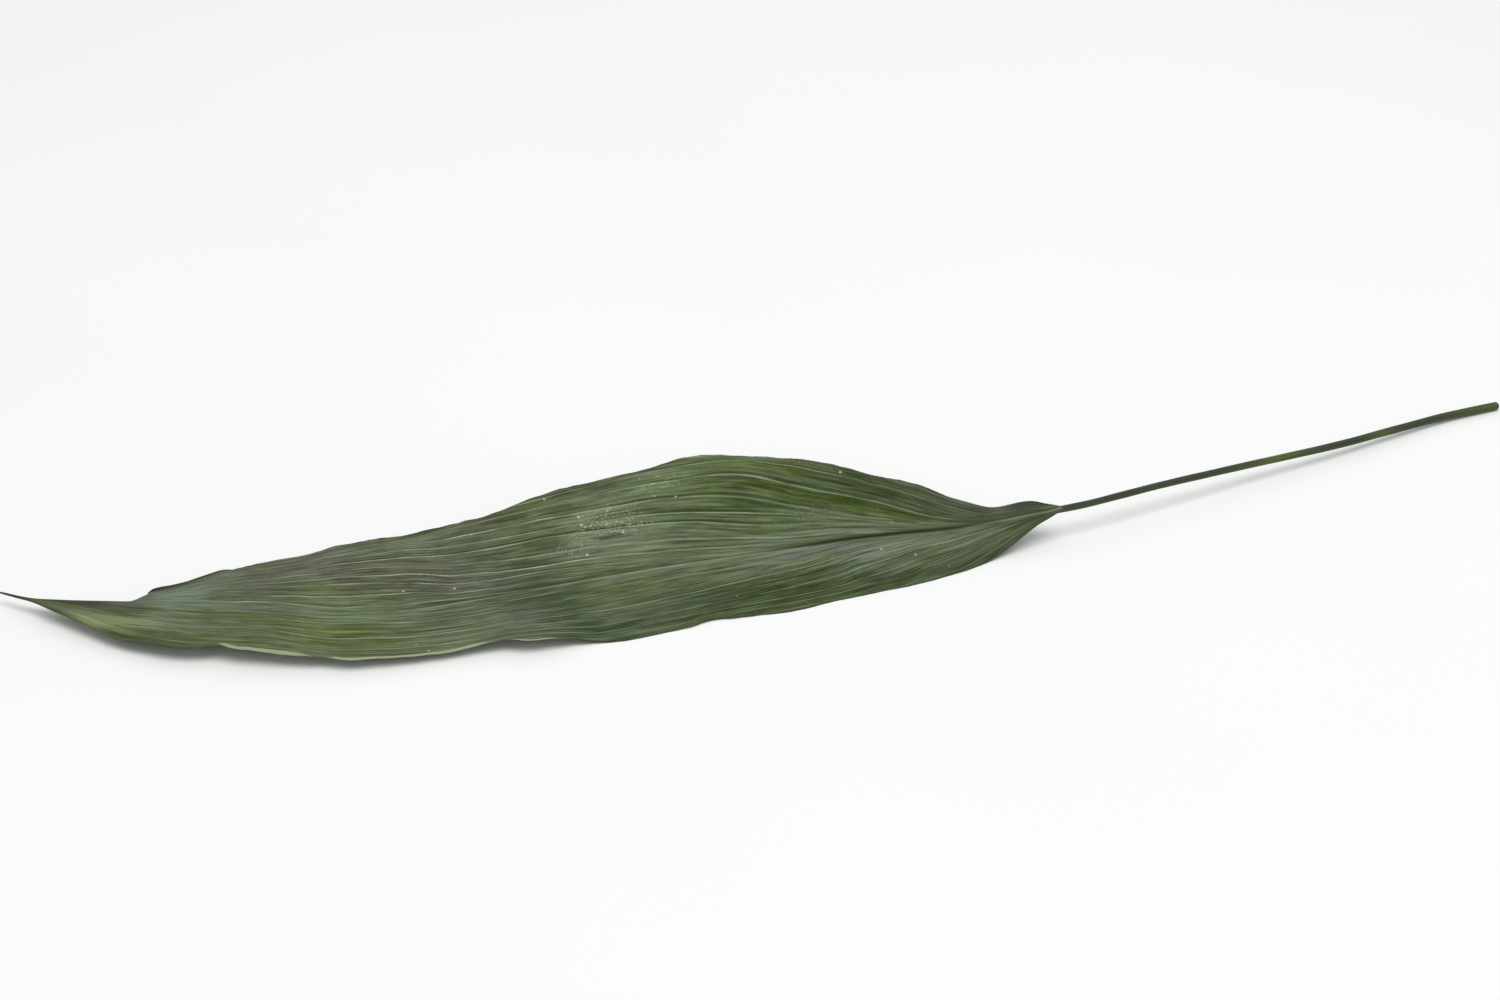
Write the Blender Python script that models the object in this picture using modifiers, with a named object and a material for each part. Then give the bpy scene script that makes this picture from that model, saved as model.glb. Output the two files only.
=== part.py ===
"""One cut aspidistra leaf, blade and petiole in one piece, lying on a flat surface.

X runs along the leaf from the tip to the cut end, Y across it and Z up. The blade is an open
sheet of rows across the midrib, given its thickness by Solidify. The petiole is a bevelled curve
joined to the rib under the sheet.
"""
import math

import bmesh
import bpy
import numpy as np

MM = 0.001
WELD = 0.000001

# Driving sizes, in millimetres.
LEAF_LENGTH = 741.0
BLADE_RUN = 483.0
SHEET_THICKNESS = 0.7
RIB_DEPTH_AT_BASE = 1.7
RIB_DEPTH_AT_TIP = 0.3
PETIOLE_RADIUS_AT_BLADE = 1.5
PETIOLE_RADIUS_AT_CUT = 2.25
PETIOLE_CHANNEL_DEPTH = 0.16
PLEAT_HEIGHT = 0.36
PLEATS_EACH_SIDE = 8
COLUMNS_EACH_SIDE = 16
ROWS = 88
ROW_BUNCHING = 0.45

# Half widths between which the pleats, the margin's waves and its ripples fade in.
PLEATED_BETWEEN = (26.0, 42.0)
WAVED_BETWEEN = (12.0, 45.0)
RIPPLED_BETWEEN = (12.0, 40.0)

# How far to each side of a run the midrib's heading is taken from.
HEADING_STEP = 4.0

# The place of the leaf's box middle, measured from the tip's foot on the surface.
BOX_MIDDLE_X = 370.65
BOX_MIDDLE_Y = -47.8

# Stations along the blade. Each row holds the run from the tip, the midrib's place across and its
# height, the near and far half widths, then for the near and the far half how steeply it rises
# outward from the midrib, in degrees: at the midrib, at its bend and at the margin, and the share
# of its width at which the bend lies.
STATIONS = np.array(
    [
        (0, -5.0, 6.0, 0.7, 0.7, -10, -10, -10, 0.5, -20, -20, -20, 0.5),
        (11, -14.0, 7.0, 1.4, 1.8, -15, -15, -15, 0.5, -30, -30, -30, 0.5),
        (27, -24.0, 9.5, 6.8, 8.5, -20, -22, -24, 0.5, -40, -43, -46, 0.5),
        (56, -38.0, 12.7, 20.0, 20.0, -18, -20, -22, 0.5, -30, -32, -34, 0.5),
        (68, -42.0, 13.0, 24.0, 27.0, -15, -15, -17, 0.5, -16, -14, -13, 0.5),
        (87, -47.0, 12.0, 29.5, 35.0, -12, -11, -10, 0.5, -10, -11, -12, 0.5),
        (119, -51.5, 8.0, 35.0, 41.5, -6, -2, 3, 0.5, -1, -1, 1, 0.5),
        (146, -56.0, 3.2, 41.0, 48.0, -2, 3, 8, 0.5, 8, 8, 8, 0.5),
        (172, -58.0, 2.1, 43.5, 53.0, 0, 4, 9, 0.5, 10, 8, 7, 0.5),
        (217, -55.0, 1.5, 47.5, 56.0, 0, 4, 8, 0.5, 12, 9, 6, 0.5),
        (264, -51.0, 0.8, 51.0, 60.5, 0, 0, 0, 0.5, 22, 17, 12, 0.5),
        (312, -48.5, 0.6, 49.5, 60.5, 0, 0, 0, 0.5, 34, 26, 11, 0.5),
        (340, -48.0, 1.0, 48.5, 57.0, 2, -2, -6, 0.5, 29, 43, -20, 0.62),
        (372, -48.5, 2.8, 45.5, 51.0, 4, -4, -18, 0.5, 34, 53, -50, 0.56),
        (405, -54.0, 6.0, 38.0, 40.0, 2, -10, -34, 0.5, 34, 53, -65, 0.42),
        (431, -60.0, 9.0, 27.0, 26.0, -8, -24, -44, 0.5, 20, 36, -65, 0.38),
        (452, -63.5, 12.5, 14.5, 15.0, -28, -36, -44, 0.5, 6, 0, -30, 0.5),
        (471, -65.0, 15.0, 4.2, 6.0, -35, -35, -35, 0.5, 14, 10, 5, 0.5),
        (483, -62.0, 15.0, 1.7, 1.7, -35, -35, -35, 0.5, 5, 3, 0, 0.5),
    ],
    float,
)
RUN, ACROSS, HEIGHT, NEAR_WIDTH, FAR_WIDTH = range(5)
NEAR_RISE = (5, 6, 7, 8)
FAR_RISE = (9, 10, 11, 12)

# The flat spot under the near half that the leaf rests on: its middle's run and reach, and how
# far it spreads each way.
REST_RUN = 281.0
REST_REACH = -0.34
REST_HALF_RUN = 22.0
REST_HALF_REACH = 0.20
REST_FADE_RUN = 14.0
REST_FADE_REACH = 0.12

# Shallow notches in the near margin: run from the tip, depth and length. Waves of the margin: length,
# height and phase, drawn out along the blade where they lift it, and this share of them in its width.
NOTCHES = ((95, 2.0, 5), (143, 1.3, 6), (208, 2.4, 9), (304, 2.4, 8))
MARGIN_WAVES = ((41, 0.9, 0.4), (67, 1.1, 2.1))
WAVE_DRAWN_OUT = 1.7
WAVE_IN_WIDTH = 0.5

# The low swell in the tip half: its middle's run and reach, its height, and how far it spreads
# along in millimetres and across in shares of the half width.
SWELL_RUN = 150.0
SWELL_REACH = -0.26
SWELL_HEIGHT = 2.2
SWELL_SPREAD_ALONG = 24.0
SWELL_SPREAD_ACROSS = 0.2

# Stations along the petiole: run from the tip, place across, height of its middle, radius.
PETIOLE = np.array(
    [
        (428, -59.8, 7.2, 0.5),
        (455, -63.8, 11.4, 0.95),
        (483, -62.0, 13.5, PETIOLE_RADIUS_AT_BLADE),
        (530, -52.5, 12.5, 1.5),
        (586, -38.0, 9.5, 1.65),
        (681, -12.5, 4.3, 2.0),
        (715, -5.0, PETIOLE_RADIUS_AT_CUT, 2.15),
        (LEAF_LENGTH, 0.0, PETIOLE_RADIUS_AT_CUT, PETIOLE_RADIUS_AT_CUT),
    ],
    float,
)
PETIOLE_RINGS = 30
PETIOLE_SIDES = 14


def smoothstep(value, low, high):
    """Zero below low, one above high, with an even S-shaped rise between."""
    t = np.clip((value - low) / (high - low), 0.0, 1.0)
    return t * t * (3.0 - 2.0 * t)


def along(run, table, column):
    """A table's column at any run: cubic between stations, with slopes that never overshoot."""
    xs = table[:, 0]
    ys = table[:, column]
    step = np.diff(xs)
    slope = np.diff(ys) / step
    tangent = np.zeros(len(xs))
    tangent[0] = slope[0]
    tangent[-1] = slope[-1]
    for i in range(1, len(xs) - 1):
        if slope[i - 1] * slope[i] > 0.0:
            before = 2.0 * step[i] + step[i - 1]
            after = step[i] + 2.0 * step[i - 1]
            tangent[i] = (before + after) / (before / slope[i - 1] + after / slope[i])
    i = int(np.clip(np.searchsorted(xs, run) - 1, 0, len(step) - 1))
    t = (run - xs[i]) / step[i]
    return float(
        (2 * t**3 - 3 * t**2 + 1) * ys[i]
        + (t**3 - 2 * t**2 + t) * step[i] * tangent[i]
        + (3 * t**2 - 2 * t**3) * ys[i + 1]
        + (t**3 - t**2) * step[i] * tangent[i + 1]
    )


def across_direction(run):
    """Unit direction across the blade, level and square to the midrib's plan."""
    low = max(run - HEADING_STEP, 0.0)
    high = min(run + HEADING_STEP, BLADE_RUN)
    turn = math.atan2(along(high, STATIONS, ACROSS) - along(low, STATIONS, ACROSS), high - low)
    return np.array([-math.sin(turn), math.cos(turn), 0.0])


def half_width(run, side):
    """Midrib to margin along the sheet, with the margin's small waves and notches."""
    width = along(run, STATIONS, NEAR_WIDTH if side < 0 else FAR_WIDTH)
    fade = smoothstep(width, *RIPPLED_BETWEEN)
    for length, height, phase in MARGIN_WAVES:
        width += WAVE_IN_WIDTH * height * fade * math.sin(2.0 * math.pi * run / length + phase + side)
    if side < 0:
        for place, depth, length in NOTCHES:
            width -= depth * math.exp(-(((run - place) / length) ** 2))
    return width


def sheet_depth(run, reach):
    """Thickness of the leaf, with the rib that runs under the midrib."""
    if reach != 0.0:
        return SHEET_THICKNESS
    grown = smoothstep(run, 0.0, BLADE_RUN)
    return SHEET_THICKNESS + RIB_DEPTH_AT_TIP + (RIB_DEPTH_AT_BASE - RIB_DEPTH_AT_TIP) * grown


def rest_spot(run, reach):
    """One on the flat spot that the leaf rests on, fading to zero round it."""
    past_run = smoothstep(abs(run - REST_RUN), REST_HALF_RUN, REST_HALF_RUN + REST_FADE_RUN)
    past_reach = smoothstep(abs(reach - REST_REACH), REST_HALF_REACH, REST_HALF_REACH + REST_FADE_REACH)
    return (1.0 - past_run) * (1.0 - past_reach)


def relief(run, reach, width):
    """Height of the pleats that follow the veins, the slow waves near the margin and the swell."""
    out = abs(reach)
    pleat = PLEAT_HEIGHT * math.cos(2.0 * math.pi * PLEATS_EACH_SIDE * out)
    pleat *= smoothstep(width, *PLEATED_BETWEEN) * (1.0 - rest_spot(run, reach))
    wave = 0.0
    for length, height, phase in MARGIN_WAVES:
        wave += height * math.sin(2.0 * math.pi * run / (WAVE_DRAWN_OUT * length) + phase)
    from_run = (run - SWELL_RUN) / SWELL_SPREAD_ALONG
    from_reach = (reach - SWELL_REACH) / SWELL_SPREAD_ACROSS
    swell = SWELL_HEIGHT * math.exp(-(from_run**2) - from_reach**2)
    return pleat + wave * out**3 * smoothstep(width, *WAVED_BETWEEN) + swell


def section(run, out, width, columns):
    """Level distance, height and slope at a share of the half width outward from the midrib.

    Two circular arcs, one after the other: the first turns from the inner rise to the middle one
    over the share of the width up to the bend, the second from there to the outer rise.
    """
    inner, middle, outer = (math.radians(along(run, STATIONS, column)) for column in columns[:3])
    bend = along(run, STATIONS, columns[3])
    level = 0.0
    height = 0.0
    slope = inner
    for start, finish, share, past in (
        (inner, middle, bend, min(out, bend)),
        (middle, outer, 1.0 - bend, max(out - bend, 0.0)),
    ):
        turn = (finish - start) * past / share
        chord = width * past * float(np.sinc(turn / (2.0 * math.pi)))
        level += chord * math.cos(start + 0.5 * turn)
        height += chord * math.sin(start + 0.5 * turn)
        slope += turn
    return level, height, slope


def blade_point(run, reach):
    """Upper skin at a run from the tip and a reach of -1 (near margin) to 1 (far margin)."""
    side = -1.0 if reach < 0.0 else 1.0
    width = half_width(run, side)
    level, rise, slope = section(run, abs(reach), width, NEAR_RISE if side < 0 else FAR_RISE)
    lift = relief(run, reach, width)
    level = side * (level - lift * math.sin(slope))
    place = np.array([run, along(run, STATIONS, ACROSS), along(run, STATIONS, HEIGHT)])
    place += level * across_direction(run)
    place[2] += rise + lift * math.cos(slope)
    place[2] = max(place[2], sheet_depth(run, reach))
    return place


def row_runs():
    """Runs of the rows, closer together towards the tip and the base."""
    share = np.linspace(0.0, 1.0, ROWS)
    return BLADE_RUN * (share - ROW_BUNCHING * np.sin(2.0 * math.pi * share) / (2.0 * math.pi))


def column_step(run):
    """Every column where the blade is wide, and fewer of them where it narrows."""
    width = along(run, STATIONS, FAR_WIDTH)
    for limit, step in ((26.0, 1), (13.0, 2), (6.5, 4), (3.0, 8), (0.8, 16)):
        if width > limit:
            return step
    return 0


def stitch(lower, upper):
    """Triangles between two rows of (reach, vertex) pairs, wherever their columns differ too."""
    faces = []
    i = 0
    j = 0
    while i < len(lower) - 1 or j < len(upper) - 1:
        if j == len(upper) - 1:
            take_lower = True
        elif i == len(lower) - 1:
            take_lower = False
        else:
            take_lower = lower[i + 1][0] <= upper[j + 1][0]
        if take_lower:
            faces.append((lower[i][1], upper[j][1], lower[i + 1][1]))
            i += 1
        else:
            faces.append((lower[i][1], upper[j][1], upper[j + 1][1]))
            j += 1
    return faces


def to_frame(point):
    """Millimetres from the tip to metres from the middle of the leaf's box."""
    return ((point[0] - BOX_MIDDLE_X) * MM, (point[1] - BOX_MIDDLE_Y) * MM, point[2] * MM)


def make_collection(name, is_cutter):
    collection = bpy.data.collections.new(name)
    bpy.context.scene.collection.children.link(collection)
    collection.hide_render = is_cutter
    return collection


def make_sheet():
    """The open sheet of the upper skin, with the weight of its thickness at each vertex."""
    points = []
    depths = []
    faces = []
    previous = None
    for run in row_runs():
        step = column_step(run)
        columns = [0]
        if step:
            columns = list(range(-COLUMNS_EACH_SIDE, COLUMNS_EACH_SIDE + 1, step))
        row = []
        for column in columns:
            reach = column / COLUMNS_EACH_SIDE
            row.append((reach, len(points)))
            points.append(to_frame(blade_point(run, reach)))
            depths.append(sheet_depth(run, reach))
        if previous:
            faces.extend(stitch(previous, row))
        previous = row
    mesh = bpy.data.meshes.new("aspidistra_leaf")
    mesh.from_pydata(points, [], faces)
    mesh.shade_smooth()
    leaf = bpy.data.objects.new("aspidistra_leaf", mesh)
    deepest = max(depths)
    group = leaf.vertex_groups.new(name="depth")
    for vertex, depth in enumerate(depths):
        group.add([vertex], depth / deepest, "REPLACE")
    thicken = leaf.modifiers.new("thickness", "SOLIDIFY")
    thicken.thickness = deepest * MM
    thicken.offset = -1.0
    thicken.vertex_group = group.name
    return leaf


def make_profile():
    """The petiole's section: a circle with a shallow channel along its upper side."""
    curve = bpy.data.curves.new("petiole_section", "CURVE")
    curve.dimensions = "2D"
    spline = curve.splines.new("POLY")
    spline.points.add(PETIOLE_SIDES - 1)
    spline.use_cyclic_u = True
    for i in range(PETIOLE_SIDES):
        angle = 2.0 * math.pi * i / PETIOLE_SIDES - 0.5 * math.pi
        top = max(0.0, math.sin(angle)) ** 6
        radius = 1.0 - PETIOLE_CHANNEL_DEPTH * top
        spline.points[i].co = (radius * math.cos(angle), radius * math.sin(angle), 0.0, 1.0)
    return bpy.data.objects.new("petiole_section", curve)


def make_petiole(profile):
    """The petiole as a swept section that starts inside the rib and ends at the cut."""
    curve = bpy.data.curves.new("petiole", "CURVE")
    curve.dimensions = "3D"
    curve.twist_mode = "Z_UP"
    curve.bevel_mode = "OBJECT"
    curve.bevel_object = profile
    curve.use_fill_caps = True
    spline = curve.splines.new("POLY")
    runs = list(np.linspace(PETIOLE[0, 0], LEAF_LENGTH - 0.5, PETIOLE_RINGS)) + [LEAF_LENGTH]
    spline.points.add(len(runs) - 1)
    for i, run in enumerate(runs):
        radius = along(run, PETIOLE, 3)
        height = max(along(run, PETIOLE, 2), radius)
        place = to_frame((run, along(run, PETIOLE, 1), height))
        spline.points[i].co = (place[0], place[1], place[2], 1.0)
        spline.points[i].radius = radius * MM
        if run == LEAF_LENGTH:
            spline.points[i].radius = 0.8 * radius * MM
    return bpy.data.objects.new("petiole_sweep", curve)


def make_solid(sweep):
    """The swept petiole as one closed mesh, its end caps welded on and its faces outward."""
    depsgraph = bpy.context.evaluated_depsgraph_get()
    solid = bpy.data.meshes.new_from_object(sweep.evaluated_get(depsgraph))
    edit = bmesh.new()
    edit.from_mesh(solid)
    bmesh.ops.remove_doubles(edit, verts=edit.verts, dist=WELD)
    bmesh.ops.recalc_face_normals(edit, faces=edit.faces)
    edit.to_mesh(solid)
    edit.free()
    solid.shade_smooth()
    return solid


def main():
    for old in list(bpy.data.objects):
        bpy.data.objects.remove(old)

    parts = make_collection("aspidistra_leaf", False)
    cutters = make_collection("cutters", True)

    profile = make_profile()
    sweep = make_petiole(profile)
    cutters.objects.link(profile)
    cutters.objects.link(sweep)
    bpy.context.view_layer.update()

    petiole = bpy.data.objects.new("petiole", make_solid(sweep))
    cutters.objects.link(petiole)
    for helper in (profile, sweep, petiole):
        helper.display_type = "WIRE"
        helper.hide_render = True

    leaf = make_sheet()
    parts.objects.link(leaf)
    join = leaf.modifiers.new("petiole", "BOOLEAN")
    join.operation = "UNION"
    join.solver = "EXACT"
    join.object = petiole

    green = bpy.data.materials.new("leaf")
    green.use_nodes = True
    shader = green.node_tree.nodes["Principled BSDF"]
    shader.inputs["Base Color"].default_value = (0.075, 0.105, 0.05, 1.0)
    shader.inputs["Roughness"].default_value = 0.55
    shader.inputs["Metallic"].default_value = 0.0
    leaf.data.materials.append(green)
    petiole.data.materials.append(green)


main()
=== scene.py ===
import math

import bpy
import numpy as np
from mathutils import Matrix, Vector


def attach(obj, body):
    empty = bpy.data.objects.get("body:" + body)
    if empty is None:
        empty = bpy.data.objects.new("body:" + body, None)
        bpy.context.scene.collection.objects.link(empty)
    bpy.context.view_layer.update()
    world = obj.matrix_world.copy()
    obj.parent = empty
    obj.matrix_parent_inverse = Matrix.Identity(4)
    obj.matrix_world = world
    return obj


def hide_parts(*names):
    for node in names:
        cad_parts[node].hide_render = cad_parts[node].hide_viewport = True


# Looks of one cut aspidistra leaf, blade and petiole in one, lying on a pale table. X runs from
# the tip to the cut end, Y across the leaf and Z up. The surfaces are worked out in millimetres
# and written in metres.

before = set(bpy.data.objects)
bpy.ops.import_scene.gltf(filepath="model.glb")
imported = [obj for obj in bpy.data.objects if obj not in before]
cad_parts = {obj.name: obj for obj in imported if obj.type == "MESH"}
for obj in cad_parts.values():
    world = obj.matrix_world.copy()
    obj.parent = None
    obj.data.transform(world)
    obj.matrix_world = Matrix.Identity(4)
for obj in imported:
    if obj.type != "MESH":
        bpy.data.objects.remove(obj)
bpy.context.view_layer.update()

MM = 0.001
TAU = 2.0 * math.pi
PERCENT = 100.0

# Driving sizes, in millimetres, as in the part's source.
LEAF_LENGTH = 741.0
BLADE_RUN = 483.0
SHEET_THICKNESS = 0.7
RIM_THICKNESS = 0.3
RIM_TAPER = 4.0
RIB_DEPTH_AT_BASE = 1.7
RIB_DEPTH_AT_TIP = 0.3
RIB_HALF_WIDTH = 1.7
BOX_MIDDLE_X = 370.65
BOX_MIDDLE_Y = -47.8

# The blade's grid: rows along it, gathered towards the tip and the base, and columns across its
# upper skin. The lower skin keeps every fifth column, and all of the last ones at each rim.
BLADE_ROWS = 240
ROWS_GATHERED = 0.45
UPPER_COLUMNS = 321
LOWER_STEP = 5
RIM_COLUMNS = 10

# Stations along the blade. Each row holds the run from the tip, the midrib's place across and its
# height, the near and far half widths, then for the near and the far half how steeply it rises
# outward from the midrib, in degrees, at the midrib, at its bend and at the margin, and last the
# share of the far half width at which the bend lies. The near half bends half way out.
STATIONS = (
    (0, -5, 6, 0.7, 0.7, -10, -10, -10, -20, -20, -20, 0.5),
    (11, -14, 7, 1.4, 1.8, -15, -15, -15, -30, -30, -30, 0.5),
    (27, -24, 9.5, 6.8, 8.5, -20, -22, -24, -40, -43, -46, 0.5),
    (54.5, -37.3, 12.6, 19.3, 20, -18, -20, -22, -33, -35, -36, 0.5),
    (58, -38.8, 12.8, 20.8, 22.2, -18, -20, -22, -20, -20, -20, 0.5),
    (68, -42, 13, 24, 25.5, -15, -15, -17, -16, -16, -16, 0.5),
    (87, -47, 12, 29.5, 35, -12, -11, -10, -10, -11, -12, 0.5),
    (119, -51.5, 8, 35, 41.5, -6, -2, 3, -1, -1, 1, 0.5),
    (146, -56, 3.2, 41, 48, -2, 3, 8, 8, 8, 8, 0.5),
    (172, -58, 2.1, 43.5, 53, 0, 4, 9, 10, 8, 7, 0.5),
    (217, -55, 1.5, 47.5, 56, 0, 4, 8, 12, 9, 6, 0.5),
    (264, -51, 0.8, 51, 60.5, 0, 0, 0, 22, 17, 12, 0.5),
    (312, -48.5, 0.6, 49.5, 60.5, 0, 0, 0, 34, 26, 11, 0.5),
    (340, -48, 1, 48.5, 57.2, 2, -2, -6, 29, 46, -20, 0.62),
    (372, -48.5, 2.8, 45.5, 51.2, 4, -4, -18, 35, 53, -50, 0.56),
    (405, -54, 6, 38, 40, 2, -10, -34, 34, 53, -65, 0.42),
    (431, -60, 9, 27, 26, -8, -24, -44, 20, 36, -65, 0.38),
    (452, -63.5, 12.5, 14.5, 15, -28, -36, -44, 6, 0, -30, 0.5),
    (471, -65, 15, 4.2, 7.2, -35, -35, -35, 15, 12, 8, 0.5),
    (478, -63.6, 15.1, 2, 3.6, -30, -30, -30, 6, 4, 2, 0.5),
    (483, -62, 14.5, 0.5, 0.5, -30, -30, -30, -20, -20, -20, 0.5),
)
ACROSS, HEIGHT, NEAR_WIDTH, FAR_WIDTH = range(1, 5)
NEAR_RISE = (5, 6, 7)
FAR_RISE = (8, 9, 10)
FAR_BEND = 11
NEAR_BEND = 0.5

# The flat spot under the near half that the leaf rests on.
REST_RUN = 281.0
REST_REACH = -0.34
REST_HALF_RUN = 22.0
REST_HALF_REACH = 0.20

# Half widths between which the margin's uneven outline, its waves and the pleats come in.
OUTLINE_FADE = (12.0, 40.0)
WAVE_FADE = (12.0, 45.0)
PLEAT_FADE = (14.0, 40.0)

# Waves of the margin: length, height and phase. In its width they are half as high, and in its
# height longer. Then its fine unevenness.
MARGIN_WAVES = ((41, 0.9, 0.4), (67, 1.1, 2.1))
WAVE_IN_WIDTH = 0.5
WAVE_DRAWN_OUT = 1.7
RAGGED_MARGIN = 0.12

# Where a margin stands fuller or slimmer than its stations: side, run, half length and how much.
# The first four are shallow notches in the near margin.
FULLER = (
    (-1, 95, 5, -2.4), (-1, 140, 6, -2.4), (-1, 208, 9, -3.0), (-1, 304, 8, -2.4),
    (-1, 112, 12, 0.8), (-1, 136, 9, -1.4), (-1, 191, 22, -3.0), (-1, 90, 9, -1.8),
    (1, 152, 24, 2.0), (1, 214, 17, -1.7), (1, 237, 10, -1.3), (1, 266, 12, 1.0), (1, 72, 9, -1.2),
    (-1, 118, 16, 0.9), (1, 297, 13, -1.6),
)

# Where the main veins lie: the run, then the share of the half width at which each vein stands
# there, in hundredths. Towards the base they bend in and join the midrib one after the other.
FAR_VEINS = (
    (0, 10, 23, 37, 48, 58, 68, 78, 87, 95, 100),
    (140, 10, 25, 43, 53, 63, 73, 81, 88, 95, 100),
    (180, 7, 20, 33, 45, 57, 69, 79, 87, 95, 100),
    (200, 4, 11, 22, 33, 46, 60, 70, 81, 92, 100),
    (240, 1, 7, 17, 23, 35, 53, 62, 74, 87, 97),
    (270, 0.5, 4, 12, 20, 30, 46, 55, 67, 83, 95),
    (300, 0.3, 2, 8, 14, 24, 39, 48, 62, 80, 92),
    (320, 0.3, 1, 5, 11, 19, 33, 42, 57, 76, 90),
    (340, 0.3, 0.6, 3, 9, 15, 27, 37, 50, 70, 87),
    (360, 0.3, 0.6, 1.5, 6, 10, 22, 30, 38, 57, 76),
    (380, 0.3, 0.6, 1, 3, 8, 17, 22, 26, 46, 65),
    (400, 0.3, 0.6, 1, 1.5, 4, 12, 15, 19, 35, 56),
    (420, 0.3, 0.6, 1, 1.5, 2, 5, 8, 12, 23, 45),
    (450, 0.3, 0.6, 1, 1.5, 2, 3, 4, 7, 15, 35),
    (483, 0.3, 0.6, 1, 1.5, 2, 3, 4, 6, 12, 30),
)
NEAR_VEINS = (
    (0, 12, 26, 38, 50, 62, 73, 84, 93),
    (140, 12, 26, 40, 50, 62, 73, 84, 93),
    (200, 12, 28, 42, 54, 66, 76, 86, 95),
    (240, 10, 26, 38, 52, 64, 75, 85, 95),
    (270, 9, 22, 35, 51, 62, 73, 84, 94),
    (300, 8, 18, 32, 47, 58, 71, 82, 92),
    (330, 6, 15, 29, 40, 54, 67, 80, 90),
    (360, 5, 12, 25, 37, 50, 63, 78, 88),
    (380, 3, 9, 19, 28, 43, 57, 73, 85),
    (400, 1, 5, 12, 20, 34, 46, 64, 80),
    (420, 0.5, 2, 7, 12, 22, 32, 50, 68),
    (450, 0.5, 1, 2, 5, 10, 18, 32, 50),
    (483, 0.5, 1, 2, 4, 8, 14, 26, 45),
)

# The narrowest gap between two veins and the gap past the last one, in shares of the half width,
# and how far the veins wander, in gaps.
NARROWEST_GAP = 0.002
OUTER_VEIN_GAP = 0.09
VEIN_WANDER = 0.02

# Stretches where a vein shows more strongly than the rest: side, vein, first and last run, how
# pale its line is and how deep the furrow beside it.
STRONG_VEINS = (
    (1, 2, 78, 185, 0.7, 0.5), (1, 3, 135, 205, 0.6, 0.4), (1, 4, 150, 265, 1.0, 0.4),
    (1, 5, 290, 390, 0.6, 0.2), (1, 6, 140, 236, 1.0, 0.6), (1, 6, 228, 335, 0.5, 0.8),
    (1, 7, 285, 345, 0.6, 0.8), (1, 8, 196, 262, 0.8, 0.3), (1, 8, 268, 375, 0.3, 0.6),
    (1, 9, 296, 400, 0.3, 0.5), (1, 10, 300, 390, 0.45, 0.6), (-1, 2, 120, 200, 0.5, 0.25),
    (-1, 4, 120, 210, 0.7, 0.4), (-1, 4, 262, 390, 0.9, 0.3), (-1, 6, 138, 200, 0.6, 0.3),
    (-1, 6, 335, 425, 0.8, 0.4), (-1, 7, 320, 420, 0.6, 0.5),
)

# Runs over which the near half's veins grow livelier, away from the tip.
NEAR_TIP = (90.0, 160.0)

# Heights of the pleat between two veins, the ridge on one, the furrow beside it and the finer
# ripples, so many to a gap. They are full where the gap is open, and gaps are held in limits.
PLEAT_HEIGHT = 0.20
RIDGE_HEIGHT = 0.16
FURROW_DEPTH = 0.30
FINE_RIPPLES = ((4.0, 0.035), (9.0, 0.016))
OPEN_GAP = 5.5
GAP_LIMITS = (0.2, 9.0)

# Small dents between the veins: height, length, breadth and seed.
DENTS = ((0.16, 21.0, 9.0, 21), (0.06, 7.0, 3.2, 22))

# The low swell in the tip half: its middle's run and reach, and how far it spreads along in
# millimetres and across in shares of the half width.
SWELL = (150.0, -0.26, 24.0, 0.2)
SWELL_HEIGHT = 2.2

# Stretches of the margins that curl up: side, first and last run, the curled strip's width in
# millimetres and how far round it turns, in degrees. The near ones start at the notches.
CURLED = (
    (-1, 95, 139, 3.2, 90), (-1, 141, 206, 2.0, 85), (-1, 212, 234, 0.8, 50), (1, 47, 98, 2.0, 85),
)

# How far to each side the midrib's heading is measured, and how softly the blade settles down.
HEADING_STEP = 4.0
SETTLE_SOFTNESS = 0.12

# Stations along the petiole: run from the tip, place across, height of its middle, radius.
PETIOLE = (
    (428, -59.8, 7.2, 0.5),
    (455, -63.8, 11.4, 0.95),
    (483, -62.0, 13.5, 1.65),
    (530, -51.9, 12.7, 1.68),
    (586, -37.6, 9.5, 1.75),
    (640, -24.0, 6.2, 1.84),
    (681, -11.9, 4.2, 1.9),
    (708, -4.1, 2.8, 2.0),
    (LEAF_LENGTH, 1.6, 2.1, 2.1),
)
PETIOLE_ROWS = 260
PETIOLE_SIDES = 56
CHANNEL_DEPTH = 0.16
CUT_ROUNDING = 0.5

# Rows over the rounded edge of the cut, then on its face: share of the radius, and how far sunk.
CUT_ROWS = 6
CUT_FACE = ((0.80, 0.06), (0.55, 0.10), (0.30, 0.12), (0.12, 0.12))

# Faint ribs along the petiole, and their height as a share of its radius.
PETIOLE_RIBS = 22.0
PETIOLE_RIB_HEIGHT = 0.012


def smoothstep(value, low, high):
    """Zero below low, one above high, with an even S-shaped rise between."""
    t = np.clip((value - low) / (high - low), 0.0, 1.0)
    return t * t * (3.0 - 2.0 * t)


def between(value, low, risen, falling, high):
    """Zero below low and above high, one from risen to falling, with S-shaped slopes."""
    return smoothstep(value, low, risen) * (1.0 - smoothstep(value, falling, high))


def bell(distance, half):
    """One at no distance, falling off as a bell."""
    return np.exp(-((distance / half) ** 2))


def patch(run, reach, middle_run, middle_reach, half_run, half_reach):
    """A soft oval patch: one at its middle, falling off as a bell in run and in reach."""
    return bell(run - middle_run, half_run) * bell(reach - middle_reach, half_reach)


def unit(vectors):
    """The same directions with a length of one."""
    return vectors / np.maximum(np.linalg.norm(vectors, axis=-1, keepdims=True), 1e-9)


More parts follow.
